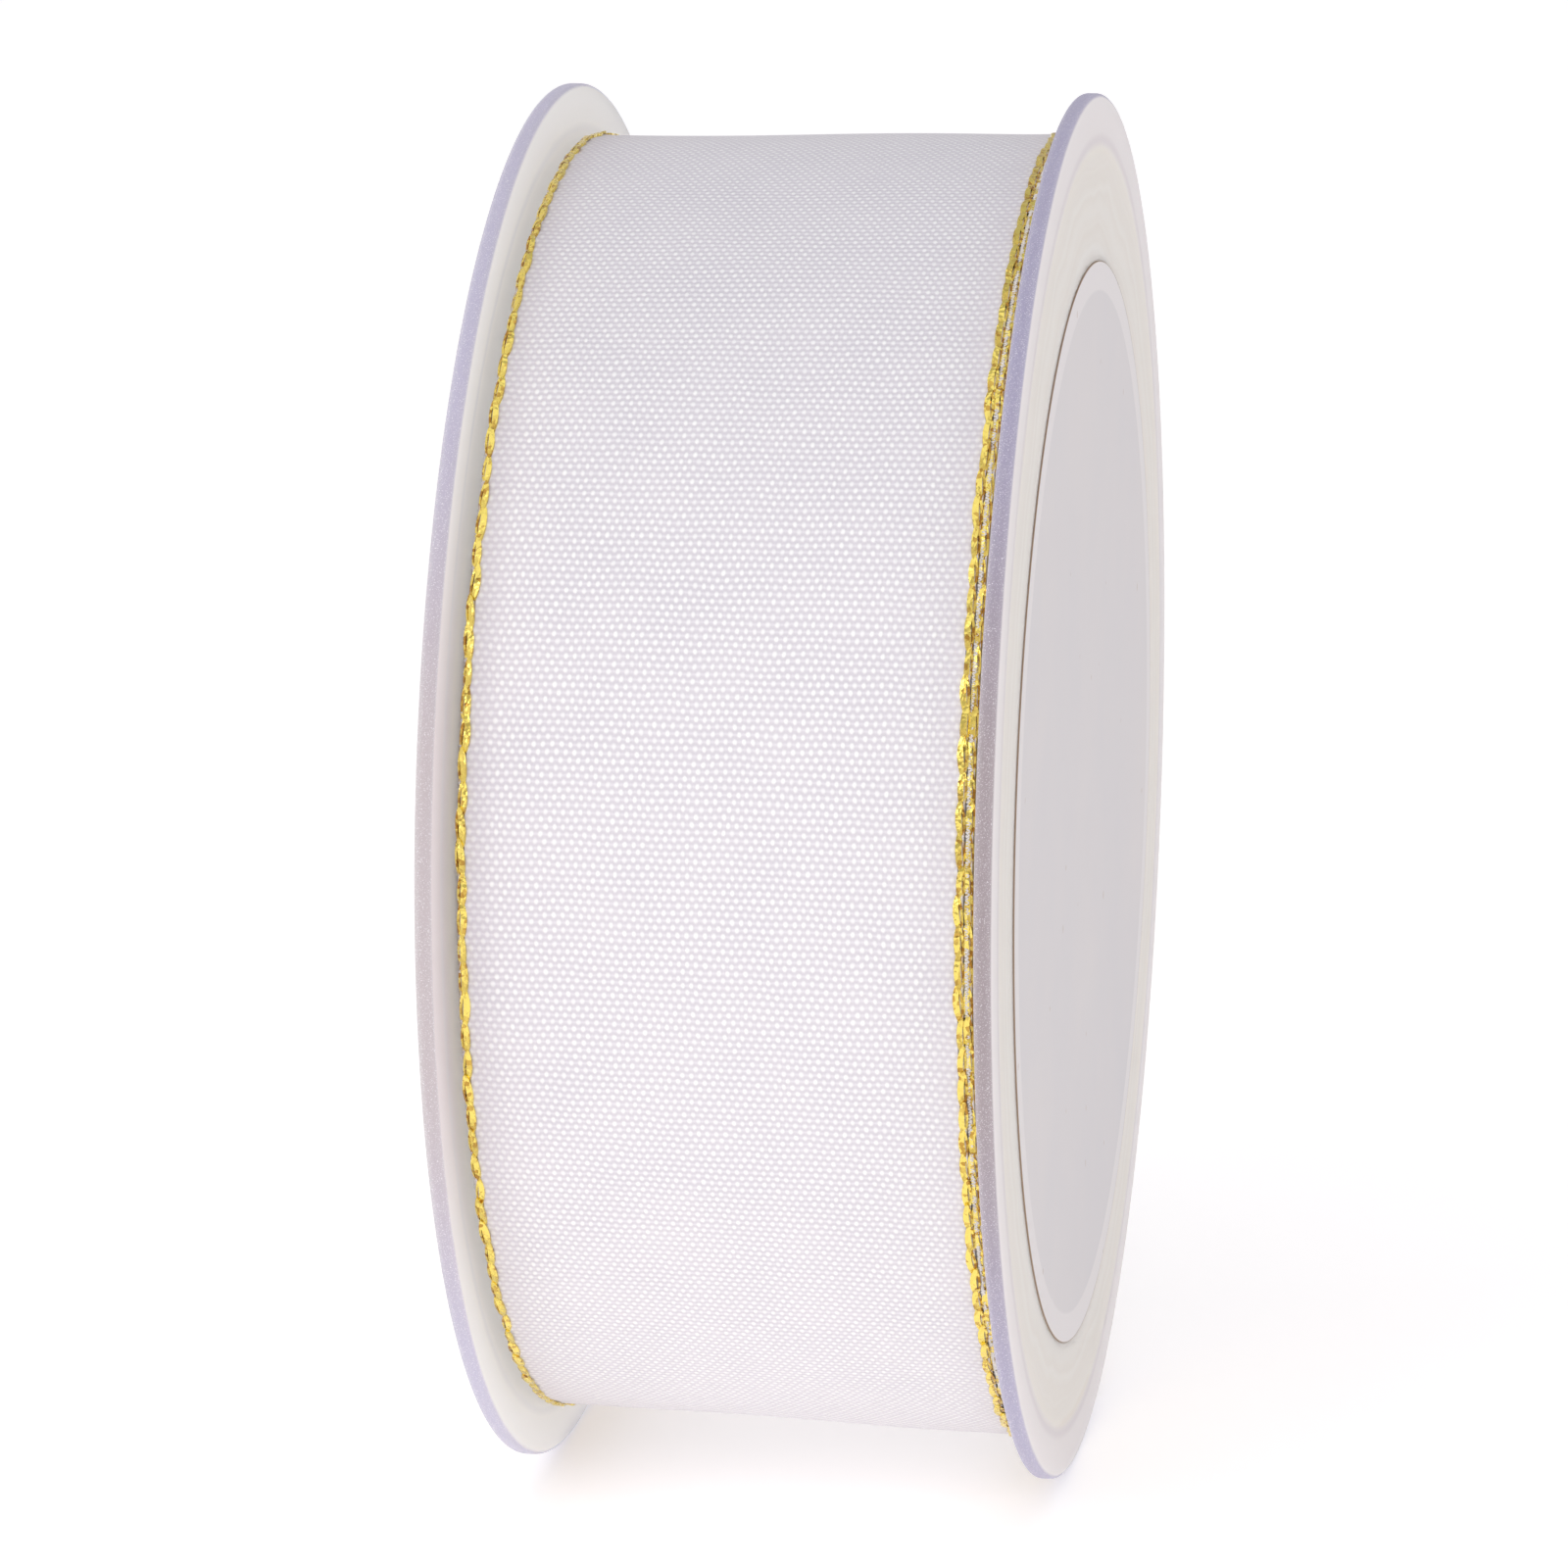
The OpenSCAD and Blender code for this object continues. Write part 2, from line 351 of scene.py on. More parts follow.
def frosted_polypropylene():
    material, tree, shader = finish(
        "frosted_polypropylene", "#F2EEF0", 0.3, IOR=1.49, Transmission_Weight=0.1
    )
    shader["Subsurface Weight"].default_value = 1.0
    shader["Subsurface Radius"].default_value = (0.97, 0.98, 0.96)
    shader["Specular IOR Level"].default_value = 0.04
    where = add(tree, "ShaderNodeTexCoord", out="Object")
    centred = {"Vector": where, "Location": (0, 0, -AXIS_Z), "Scale": (0, 1, 1)}
    flat = add(tree, "ShaderNodeMapping", centred)
    radius = add(tree, "ShaderNodeVectorMath", [flat], out="Value", operation="LENGTH")
    cloud = add(tree, "ShaderNodeTexNoise", {"Vector": where, "Scale": 1 / (14 * MM)})
    rings_at = add(tree, "ShaderNodeMath", [radius, 1 / (1.7 * MM)], operation="MULTIPLY")
    warped = add(tree, "ShaderNodeMath", [cloud, 3.0, rings_at], operation="MULTIPLY_ADD")
    ring = add(tree, "ShaderNodeTexNoise", {"W": warped, "Scale": 1.0}, noise_dimensions="1D")
    soft = add(tree, "ShaderNodeMapRange", [ring, 0.2, 0.8])
    over_pack = add(tree, "ShaderNodeMix", {0: soft, 6: "#EFE4D8", 7: "#F8F0E5"}, **RGB)
    inside = [radius, PACK_R - 0.6 * MM, PACK_R + 0.3 * MM]
    clear = add(tree, "ShaderNodeMapRange", inside, **SOFT)
    level = add(tree, "ShaderNodeSeparateXYZ", [flat], out="Z")
    off_level = add(tree, "ShaderNodeMath", [level], operation="ABSOLUTE")
    span = [off_level, 0.2 * RIM_R, 0.75 * RIM_R]
    to_ends = add(tree, "ShaderNodeMapRange", span, **SOFT)
    side = add(tree, "ShaderNodeSeparateXYZ", [where])
    to_right = add(tree, "ShaderNodeMapRange", [side, -HALF_GAP, HALF_GAP])
    from_face = add(tree, "ShaderNodeMath", [side, HALF_GAP], operation="ADD")
    off_face = add(tree, "ShaderNodeMath", [from_face], operation="ABSOLUTE")
    inner_left = add(tree, "ShaderNodeMath", [off_face, 0.2 * MM], operation="LESS_THAN")
    # Painted shade and reflection on the left disc's inner face: mauve shade in the gap, a cream
    # reflection of the gold edge, paler towards top and bottom.
    from_gold_reflection = add(tree, "ShaderNodeMath", [radius, PACK_R - REFLECTION_DEPTH], operation="SUBTRACT")
    off_gold_reflection = add(tree, "ShaderNodeMath", [from_gold_reflection], operation="ABSOLUTE")
    gold_reflection = add(tree, "ShaderNodeMapRange", [off_gold_reflection, 1.5 * MM, 4 * MM, 0.9, 0.0])
    gap_shade_and_reflection = add(tree, "ShaderNodeMix", {0: gold_reflection, 6: "#CBB0B4", 7: "#E0BFA6"}, **RGB)
    painted_inner_face = add(tree, "ShaderNodeMix", {0: to_ends, 6: gap_shade_and_reflection, 7: "#F4E4D4"}, **RGB)
    other_faces = add(tree, "ShaderNodeMix", {0: clear, 6: over_pack, 7: "#E7E1E1"}, **RGB)
    tints = {0: inner_left, 6: other_faces, 7: painted_inner_face}
    zones = add(tree, "ShaderNodeMix", tints, **RGB)
    # Painted shadow: a thin mauve line just outside the pack's radius, where the pack's edge shades
    # the disc.
    off_shadow_line = add(tree, "ShaderNodeMath", [radius, PACK_R + 0.35 * MM], operation="SUBTRACT")
    distance = add(tree, "ShaderNodeMath", [off_shadow_line], operation="ABSOLUTE")
    line = add(tree, "ShaderNodeMapRange", [distance, 0.1 * MM, 0.6 * MM, 0.25, 0.0])
    shadow_lined = add(tree, "ShaderNodeMix", {0: line, 6: zones, 7: "#C4B6BC"}, **RGB)
    near_edge = [radius, RIM_R - 0.42 * MM, RIM_R - 0.12 * MM]
    edge = add(tree, "ShaderNodeMapRange", near_edge, **SOFT)
    # Painted light on the rim: paler on the left disc, which is lit through from the left, darker on
    # the right, and bluer towards top and bottom than at mid height.
    at_middle = add(tree, "ShaderNodeMix", {0: to_right, 6: "#C4BBBE", 7: "#A99FA3"}, **RGB)
    at_ends = add(tree, "ShaderNodeMix", {0: to_right, 6: "#BEBACE", 7: "#A9A5BC"}, **RGB)
    painted_rim_light = add(tree, "ShaderNodeMix", {0: to_ends, 6: at_middle, 7: at_ends}, **RGB)
    colour = add(tree, "ShaderNodeMix", {0: edge, 6: shadow_lined, 7: painted_rim_light}, **RGB)
    beyond = [radius, PACK_R - 12 * MM, PACK_R - 9 * MM]
    seen = add(tree, "ShaderNodeMapRange", beyond, **SOFT)
    short_of_edge = add(tree, "ShaderNodeMath", [seen, edge], operation="SUBTRACT")
    through = add(tree, "ShaderNodeMath", [short_of_edge, inner_left], operation="MULTIPLY")
    depth = add(tree, "ShaderNodeMapRange", [through, 0.0, 1.0, SCATTER, SCATTER_IN_GAP])
    tree.links.new(depth, shader["Subsurface Scale"])
    # Painted glints: sparse pale specks in the rim's colour stand in for the sparkle of the blasted
    # grain.
    fine = add(tree, "ShaderNodeTexNoise", {"Vector": where, "Scale": 1 / (0.09 * MM), "Detail": 1.0})
    spark = add(tree, "ShaderNodeMapRange", [fine, 0.58, 0.74, 0.0, 0.8])
    on_edge = add(tree, "ShaderNodeMath", [spark, edge], operation="MULTIPLY")
    glint = add(tree, "ShaderNodeMix", {0: on_edge, 6: colour, 7: "#F4F2F6"}, **RGB)
    tree.links.new(glint, shader["Base Color"])
    grain = add(tree, "ShaderNodeTexNoise", {"Vector": where, "Scale": 1 / (0.25 * MM), "Detail": 3.0})
    gloss = add(tree, "ShaderNodeMapRange", [grain, 0.3, 0.7, 0.52, 0.62])
    tree.links.new(gloss, shader["Roughness"])
    return material


FROSTED = frosted_polypropylene()

# %% [markdown]
# ## Woven ribbon
# A plain weave of filament polyester. Where a warp thread floats over a weft it shows as a bright
# round dot. The dots of one row are 0.70 mm apart, the next row comes 0.58 mm later and is shifted
# by half a step. A paler line of weft joins the dots of a row. The pattern reads the ribbon's own
# UV map, which holds millimetres across and along, so the weave follows the cloth round the spool.
# Towards the stitched edges the threads crowd and the dots grow faint.

# %% Woven ribbon
WARP_STEP, WEFT_STEP = 0.70, 0.58


def woven_polyester():
    material, tree, shader = finish(
        "woven_polyester", "#F4F2F6", 0.5, Sheen_Weight=0.2, Sheen_Roughness=0.4
    )
    cloth = add(tree, "ShaderNodeUVMap", uv_map="cloth_mm")
    drawn = add(tree, "ShaderNodeTexNoise", {"Vector": cloth, "Scale": 1 / 2.6, "Detail": 1.0}, 1)
    centred = add(tree, "ShaderNodeVectorMath", [drawn, (-0.5, -0.5, -0.5)], operation="ADD")
    bent = [centred, (0.34, 0.34, 0.0), cloth]
    pulled = add(tree, "ShaderNodeVectorMath", bent, operation="MULTIPLY_ADD")
    across, along, _ = add(tree, "ShaderNodeSeparateXYZ", [pulled]).node.outputs
    rows = add(tree, "ShaderNodeMath", [along, WEFT_STEP], operation="DIVIDE")
    row = add(tree, "ShaderNodeMath", [rows], operation="ROUND")
    in_row = add(tree, "ShaderNodeMath", [rows, row], operation="SUBTRACT")
    shifted = add(tree, "ShaderNodeMath", [row, 0.5], operation="MULTIPLY")
    columns = add(tree, "ShaderNodeMath", [across, 1 / WARP_STEP, shifted], operation="MULTIPLY_ADD")
    column = add(tree, "ShaderNodeMath", [columns], operation="ROUND")
    in_column = add(tree, "ShaderNodeMath", [columns, column], operation="SUBTRACT")
    thread_id = add(tree, "ShaderNodeCombineXYZ", [column, row])
    chance = add(tree, "ShaderNodeTexWhiteNoise", {"Vector": thread_id}, noise_dimensions="2D")
    wide = add(tree, "ShaderNodeMath", [in_column, 1 / 0.36], operation="MULTIPLY")
    tall = add(tree, "ShaderNodeMath", [in_row, 1 / 0.56], operation="MULTIPLY")
    oval = add(tree, "ShaderNodeCombineXYZ", [wide, tall])
    reach = add(tree, "ShaderNodeVectorMath", [oval], "Value", operation="LENGTH")
    dot = add(tree, "ShaderNodeMapRange", [reach, 1.05, 0.35], **SOFT)
    strength = add(tree, "ShaderNodeMapRange", [chance, 0.0, 1.0, 0.6, 1.0])
    from_middle = add(tree, "ShaderNodeMath", [across], operation="ABSOLUTE")
    crowding = [from_middle, 16.4, 18.6, 1.0, 0.55]
    open_weave = add(tree, "ShaderNodeMapRange", crowding, **SOFT)
    strong = add(tree, "ShaderNodeMath", [strength, open_weave], operation="MULTIPLY")
    seen_dot = add(tree, "ShaderNodeMath", [dot, strong], operation="MULTIPLY")
    off_row = add(tree, "ShaderNodeMath", [in_row], operation="ABSOLUTE")
    line = [off_row, 0.32, 0.02, 0.0, 0.5]
    weft = add(tree, "ShaderNodeMapRange", line, **SOFT)
    patch = add(tree, "ShaderNodeTexNoise", {"Vector": cloth, "Scale": 1 / 7, "Detail": 3.0})
    shade = add(tree, "ShaderNodeMix", {0: patch, 6: "#D5D1D9", 7: "#E0DBE1"}, **RGB)
    band = add(tree, "ShaderNodeMix", {0: weft, 6: shade, 7: "#F1EEF4"}, **RGB)
    colour = add(tree, "ShaderNodeMix", {0: seen_dot, 6: band, 7: "#FFFFFF"}, **RGB)
    tree.links.new(colour, shader["Base Color"])
    gloss = add(tree, "ShaderNodeMapRange", [seen_dot, 0.0, 1.0, 0.6, 0.36])
    tree.links.new(gloss, shader["Roughness"])
    height = add(tree, "ShaderNodeMath", [weft, 0.25, seen_dot], operation="MULTIPLY_ADD")
    relief = {"Height": height, "Distance": 0.05 * MM}
    tree.links.new(add(tree, "ShaderNodeBump", relief), shader["Normal"])
    return material


WEAVE = woven_polyester()

# %% [markdown]
# ## Gold foil yarn
# A lurex yarn: a flat strip of metallised film. It is a smooth metal, but the strip twists, so each
# fraction of a millimetre mirrors another direction. That is what makes it sparkle between bright
# yellow and dark bronze. Cells of random slope imitate the twisting strip: they tilt the surface,
# and the bronze is painted into their colour as painted reflection and shade, more on the outer
# strand.

# %% Gold foil yarn


def gold_foil():
    material, tree, shader = finish("gold_foil_yarn", "#EBCF78", 0.24, Metallic=1.0)
    where = add(tree, "ShaderNodeTexCoord", out="Object")
    cells = add(tree, "ShaderNodeTexVoronoi", {"Vector": where, "Scale": 1 / (0.36 * MM)}).node
    chance = add(tree, "ShaderNodeSeparateColor", [cells.outputs["Color"]]).node.outputs
    # Painted reflection and shade: random cells, and the outer strand more often, get dark bronze in
    # the base colour.
    strand = add(tree, "ShaderNodeAttribute", attribute_name="far_strand", out="Fac")
    turned_away = add(tree, "ShaderNodeMath", [strand, 0.3, chance[0]], operation="MULTIPLY_ADD")
    bronze_shade = add(tree, "ShaderNodeMapRange", [turned_away, 0.62, 1.1], **SOFT)
    pick = {0: bronze_shade, 6: "#F5DE74", 7: "#B8883C"}
    tree.links.new(add(tree, "ShaderNodeMix", pick, **RGB), shader["Base Color"])
    gloss = add(tree, "ShaderNodeMapRange", [chance[1], 0.0, 1.0, 0.08, 0.34])
    tree.links.new(gloss, shader["Roughness"])
    relief = {"Height": cells.outputs["Distance"], "Distance": 0.06 * MM}
    tree.links.new(add(tree, "ShaderNodeBump", relief), shader["Normal"])
    return material


GOLD = gold_foil()

# %% [markdown]
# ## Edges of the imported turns
# Seen from the side, the wound edges show gold yarn and white weft loops in equal parts, layer on
# layer. Together they are a dull cream with a gold cast, which the frosted discs turn to cream. A
# noise of the radius draws the layers, one turn apart.

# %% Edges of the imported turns


def packed_edges():
    material, tree, shader = finish("packed_gold_edges", "#EBDDB0", 0.5, Metallic=0.2)
    where = add(tree, "ShaderNodeTexCoord", out="Object")
    centred = {"Vector": where, "Location": (0, 0, -AXIS_Z), "Scale": (0, 1, 1)}
    flat = add(tree, "ShaderNodeMapping", centred)
    radius = add(tree, "ShaderNodeVectorMath", [flat], out="Value", operation="LENGTH")
    turn = {"W": radius, "Scale": 1 / PITCH}
    layer = add(tree, "ShaderNodeTexNoise", turn, noise_dimensions="1D")
    yarn = add(tree, "ShaderNodeTexNoise", {"Vector": where, "Scale": 1 / (0.9 * MM)})
    mixed = add(tree, "ShaderNodeMath", [layer, yarn], operation="ADD")
    gold_part = add(tree, "ShaderNodeMapRange", [mixed, 0.8, 1.2])
    pick = {0: gold_part, 6: "#F6F1E4", 7: "#E6CB72"}
    tree.links.new(add(tree, "ShaderNodeMix", pick, **RGB), shader["Base Color"])
    return material


PACKED = packed_edges()

# %% [markdown]
# ## Thread, core plastic and tape
# The selvedge thread is white polyester, softly fibrous. The core is opaque polystyrene, smooth
# from the mould. The tape is a clear film, drawn thin, so it has long shallow waves. It
# is far too thin to bend light, so it is simply see-through.

# %% Thread, core plastic and tape


def white_thread():
    material, tree, shader = finish("selvedge_thread", "#F1EEF2", 0.6, Sheen_Weight=0.3)
    where = add(tree, "ShaderNodeTexCoord", out="Object")
    fibre = add(tree, "ShaderNodeTexNoise", {"Vector": where, "Scale": 1 / (0.1 * MM)})
    pick = {0: fibre, 6: "#E0D8D2", 7: "#FFFFFF"}
    tree.links.new(add(tree, "ShaderNodeMix", pick, **RGB), shader["Base Color"])
    relief = {"Height": fibre, "Distance": 0.02 * MM}
    tree.links.new(add(tree, "ShaderNodeBump", relief), shader["Normal"])
    return material


def core_polystyrene():
    material, tree, shader = finish("core_polystyrene", "#ECEAEA", 0.4)
    where = add(tree, "ShaderNodeTexCoord", out="Object")
    flow = add(tree, "ShaderNodeTexNoise", {"Vector": where, "Scale": 1 / (5 * MM)})
    pick = {0: flow, 6: "#E6E4E4", 7: "#F2F0F0"}
    tree.links.new(add(tree, "ShaderNodeMix", pick, **RGB), shader["Base Color"])
    return material


def clear_film():
    material, tree, shader = finish("clear_polypropylene_film", "#FBF9F4", 0.12, IOR=1.49, Alpha=0.24)
    where = add(tree, "ShaderNodeTexCoord", out="Object")
    wave = add(tree, "ShaderNodeTexNoise", {"Vector": where, "Scale": 1 / (2.5 * MM)})
    gloss = add(tree, "ShaderNodeMapRange", [wave, 0.3, 0.7, 0.06, 0.2])
    tree.links.new(gloss, shader["Roughness"])
    relief = {"Height": wave, "Distance": 0.03 * MM}
    tree.links.new(add(tree, "ShaderNodeBump", relief), shader["Normal"])
    return material


THREAD = white_thread()
CORE = core_polystyrene()
FILM = clear_film()

# %% [markdown]
# ## Label paper
# Uncoated grey-white paper with a slightly paler margin, a few fibres and a thin brown line at the
# cut edge, which is a painted shadow. Each label's pattern is centred on its own middle.

# %% Label paper
label_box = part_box("right_label")
LABEL_R = (label_box[1].z - label_box[0].z) / 2
MARGIN = 2.3 * MM


def label_paper(centre_z):
    material, tree, shader = finish("uncoated_label_paper", "#E4E2E3", 0.7)
    where = add(tree, "ShaderNodeTexCoord", out="Object")
    centred = {"Vector": where, "Location": (0, 0, -centre_z), "Scale": (0, 1, 1)}
    flat = add(tree, "ShaderNodeMapping", centred)
    away = add(tree, "ShaderNodeVectorMath", [flat], out="Value", operation="LENGTH")
    border = [away, LABEL_R - MARGIN - 0.3 * MM, LABEL_R - MARGIN]
    margin = add(tree, "ShaderNodeMapRange", border, **SOFT)
    cloud = add(tree, "ShaderNodeTexNoise", {"Vector": where, "Scale": 1 / (16 * MM), "Detail": 3.0})
    sheet = add(tree, "ShaderNodeMix", {0: cloud, 6: "#D6D4D7", 7: "#DFDAD9"}, **RGB)
    plain = add(tree, "ShaderNodeMix", {0: margin, 6: sheet, 7: "#E4E0E0"}, **RGB)
    fibre = add(tree, "ShaderNodeTexNoise", {"Vector": where, "Scale": 1 / (0.5 * MM), "Detail": 4.0})
    spots = add(tree, "ShaderNodeTexNoise", {"Vector": where, "Scale": 1 / (1.6 * MM), "Detail": 0.0})
    speck = add(tree, "ShaderNodeMapRange", [spots, 0.84, 0.86, 0.0, 0.35])
    spotted = add(tree, "ShaderNodeMix", {0: speck, 6: plain, 7: "#B5A08C"}, **RGB)
    # Painted shadow: a thin brown line along the label's cut edge.
    edge = add(tree, "ShaderNodeMapRange", [away, LABEL_R - 0.12 * MM, LABEL_R - 0.04 * MM])
    colour = add(tree, "ShaderNodeMix", {0: edge, 6: spotted, 7: "#9C8672"}, **RGB)
    tree.links.new(colour, shader["Base Color"])
    relief = {"Height": fibre, "Distance": 0.012 * MM}
    tree.links.new(add(tree, "ShaderNodeBump", relief), shader["Normal"])
    return material


# %% [markdown]
# ## Turned pieces
# Discs, tube and labels are shapes of revolution. A short half outline is turned round the axis,
# which is what a lathe or a round mould gives. A point on the axis becomes one corner, so the
# middle of a label is closed.

# %% A lathe


def turned(name, outline, material, centre_z=AXIS_Z, steps=288, closed=True):
    """Turns an outline of (x, radius) points, listed with the solid on its left, round the axis."""
    points, rings = [], []
    for x, radius in outline:
        first = len(points)
        if radius == 0:
            points.append((x, 0, centre_z))
            rings.append([first] * steps)
            continue
        angles = [math.tau * i / steps for i in range(steps)]
        points += [(x, radius * math.sin(a), centre_z - radius * math.cos(a)) for a in angles]
        rings.append(list(range(first, first + steps)))
    faces = []
    for near, far in zip(rings, rings[1:] + rings[:1] if closed else rings[1:]):
        for i in range(steps):
            k = (i + 1) % steps
            face = [near[i], near[k], far[k], far[i]]
            faces.append([v for n, v in enumerate(face) if v != face[n - 1]])
    return mesh_object(name, points, faces, material)


def quarter(x, radius, size, start, pieces=5):
    """Points of a quarter circle round (x, radius), from the start angle on."""
    turns = [start + math.pi / 2 * i / pieces for i in range(pieces + 1)]
    return [(x + size * math.cos(t), radius + size * math.sin(t)) for t in turns]


# %% [markdown]
# ### The flanges
# One mould makes both discs. On the inner face stand a collar that plugs into the core tube and a
# boss round the spindle bore, tied together by webs. The rim's corners are rounded. The webs repeat
# round the axis, so Geometry Nodes place them and join them to the disc as one closed solid.

# %% Flange outline and webs
RIM_ROUND = 0.4 * MM
WALL = 1.4 * MM
WEBS = 6
COLLAR_R = TUBE_IN_R - 0.06 * MM
BOSS_R = BORE_R + WALL


def flange_outline():
    """Half outline of the left flange in (x, radius)."""
    outside, inside = -HALF_GAP - FLANGE_T, -HALF_GAP
    top = outside + HUB_LEN
    lead = 0.5 * MM
    rim = RIM_R - RIM_ROUND
    points = [(outside, BORE_R)]
    points += [(top, BORE_R), (top, BOSS_R), (inside, BOSS_R)]
    points += [(inside, COLLAR_R - WALL), (top, COLLAR_R - WALL)]
    points += [(top, COLLAR_R - lead / 2), (top - lead, COLLAR_R), (inside, COLLAR_R)]
    points += [(inside, rim - 2 * MM)]
    points += quarter(inside - RIM_ROUND, rim, RIM_ROUND, 0)
    points += quarter(outside + RIM_ROUND, rim, RIM_ROUND, math.pi / 2)
    points += [(outside, rim - 2 * MM)]
    return points


def web_tree():
    """Places boxes round the X axis and joins them to the incoming solid."""
    sockets = {"Count": "Int", "Size": "Vector", "Middle": "Vector", "Axis height": "Float"}
    tree, given = start_tree("webs_round_the_hub", {**sockets, "Material": "Material"})
    still = {"Count": given["Count"], "Offset": (0, 0, 0)}
    points = add(tree, "GeometryNodeMeshLine", still)
    box = add(tree, "GeometryNodeMeshCube", {"Size": given["Size"]})
    moved = add(tree, "GeometryNodeTransform", {"Geometry": box, "Translation": given["Middle"]})
    index = add(tree, "GeometryNodeInputIndex")
    share = add(tree, "ShaderNodeMath", [index, given["Count"]], operation="DIVIDE")
    angle = add(tree, "ShaderNodeMath", [share, math.tau], operation="MULTIPLY")
    turn = add(tree, "ShaderNodeCombineXYZ", [angle])
    spread = {"Points": points, "Instance": moved, "Rotation": turn}
    webs = add(tree, "GeometryNodeInstanceOnPoints", spread)
    lift = add(tree, "ShaderNodeCombineXYZ", {2: given["Axis height"]})
    lifted = add(tree, "GeometryNodeTransform", {"Geometry": webs, "Translation": lift})
    solid = add(tree, "GeometryNodeRealizeInstances", [lifted])
    both = {"Mesh 2": given["Geometry"]}
    joined = add(tree, "GeometryNodeMeshBoolean", both, operation="UNION", solver="EXACT")
    tree.links.new(solid, joined.node.inputs["Mesh 2"])
    return end_tree(tree, joined, given["Material"])


# %% Flanges
WEB_TREE = web_tree()


def flange(name, side):
    """One flange. side is -1 on the left and 1 on the right."""
    outline = [(-side * x, r) for x, r in flange_outline()]
    if side > 0:
        outline.reverse()
    piece = turned(name, outline, FROSTED)
    sink = 0.2 * MM
    web_len = HUB_LEN - FLANGE_T - 1 * MM
    span = COLLAR_R - WALL - BOSS_R + 2 * sink
    values = {
        "Count": WEBS,
        "Size": (web_len + sink, WALL, span),
        "Middle": (side * (HALF_GAP + sink - (web_len + sink) / 2), 0, BOSS_R - sink + span / 2),
        "Axis height": AXIS_Z,
        "Material": FROSTED,
    }
    return run_nodes(piece, WEB_TREE, values)


flange_left = flange("flange_left", -1)
flange_right = flange("flange_right", 1)

# %% [markdown]
# ### Core tube and labels
# The core is a plain cut tube with broken edges. A label is a paper disc, a few hundredths softer
# at its cut edge.

# %% Core tube and labels
EASE = 0.3 * MM
core_outline = [
    (-HALF_GAP, TUBE_IN_R + EASE),
    (-HALF_GAP + EASE, TUBE_IN_R),
    (HALF_GAP - EASE, TUBE_IN_R),
    (HALF_GAP, TUBE_IN_R + EASE),
    (HALF_GAP, CORE_R - EASE),
    (HALF_GAP - EASE, CORE_R),
    (-HALF_GAP + EASE, CORE_R),
    (-HALF_GAP, CORE_R - EASE),
]
core_tube = turned("core_tube_turned", core_outline, CORE)


def label(name, node, side):
    """A paper disc where its CAD node is."""
    low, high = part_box(node)
    inner, outer = (low.x, high.x) if side > 0 else (high.x, low.x)
    ease = 0.03 * MM
    bands = [LABEL_R - MARGIN, 0.5 * LABEL_R]
    outline = [(inner, 0), (inner, LABEL_R), (outer - side * ease, LABEL_R)]
    outline += [(outer, LABEL_R - ease), *[(outer, r) for r in bands], (outer, 0)]
    if side < 0:
        outline.reverse()
    centre_z = (low.z + high.z) / 2
    return turned(name, outline, label_paper(centre_z), centre_z, closed=False)


label_left = label("label_left", "left_label", -1)
label_right = label("label_right", "right_label", 1)

# %% [markdown]
# ## The wound ribbon
# About 95 inner turns are only seen through the frosted discs. They are still one continuous
# spiral strip. Geometry Nodes draw it: a chain of points is bent into the spiral, and a flat
# profile is swept along it, once for the cloth and once for each stitched edge. Each point carries
# the direction across the ribbon, so that the strip leans with the pack.

# %% The spiral strip in Geometry Nodes
STEPS_PER_TURN = 72
INNER_FROM = 2.0


def spiral_tree():
    """Sweeps a flat profile along the host mesh's chain of points."""
    sockets = {"Width": "Float", "Thickness": "Float", "Material": "Material"}
    tree, given = start_tree("strip_along_a_spiral", sockets)
    path = add(tree, "GeometryNodeMeshToCurve", [given["Geometry"]])
    across = add(tree, "GeometryNodeInputNamedAttribute", ["across"], data_type="FLOAT_VECTOR")
    facing = {"Curve": path, "Normal": across}
    faced = add(tree, "GeometryNodeSetCurveNormal", facing, mode="FREE")
    size = {"Width": given["Width"], "Height": given["Thickness"]}
    profile = add(tree, "GeometryNodeCurvePrimitiveQuadrilateral", size)
    sweep = {"Curve": faced, "Profile Curve": profile, "Fill Caps": True}
    return end_tree(tree, add(tree, "GeometryNodeCurveToMesh", sweep), given["Material"])


# %% Paths along the ribbon


def strip_path(name, x, height, start, end, steps_per_turn):
    """A chain of points along the ribbon, from one count of turns back to another."""
    back = np.linspace(start, end, int(abs(end - start) * steps_per_turn) + 1)
    x = x + drift_at(back)
    points = place(x, radius_at(back) + height, back)
    across = place(x + MM, radius_at(back) + height, back) - points
    path = mesh_object(name, points, [], edges=[(i, i + 1) for i in range(len(points) - 1)])
    direction = path.data.attributes.new("across", "FLOAT_VECTOR", "POINT")
    direction.data.foreach_set("vector", (across / MM).ravel())
    return path


# %% Sweep the inner turns
SPIRAL_TREE = spiral_tree()
EDGE_X = HALF_RIBBON - GOLD_W / 2


def swept(name, x, height, start, end, steps, width, thickness, material):
    """A flat strip along the ribbon."""
    path = strip_path(name, x, height, start, end, steps)
    values = {"Width": width, "Thickness": thickness, "Material": material}
    return run_nodes(path, SPIRAL_TREE, values)


inner = (-RIBBON_T / 2, INNER_FROM, TURNS, STEPS_PER_TURN)
ribbon_turns = swept("ribbon_turns", 0.0, *inner, 2 * HALF_WEAVE, RIBBON_T, WEAVE)
hidden = (-RIBBON_T / 2, 1.02, TURNS, STEPS_PER_TURN)
gold_turns_left = swept("gold_turns_left", -EDGE_X, *hidden, GOLD_W, 0.94 * PITCH, PACKED)
gold_turns_right = swept("gold_turns_right", EDGE_X, *inner, GOLD_W, 0.94 * PITCH, PACKED)

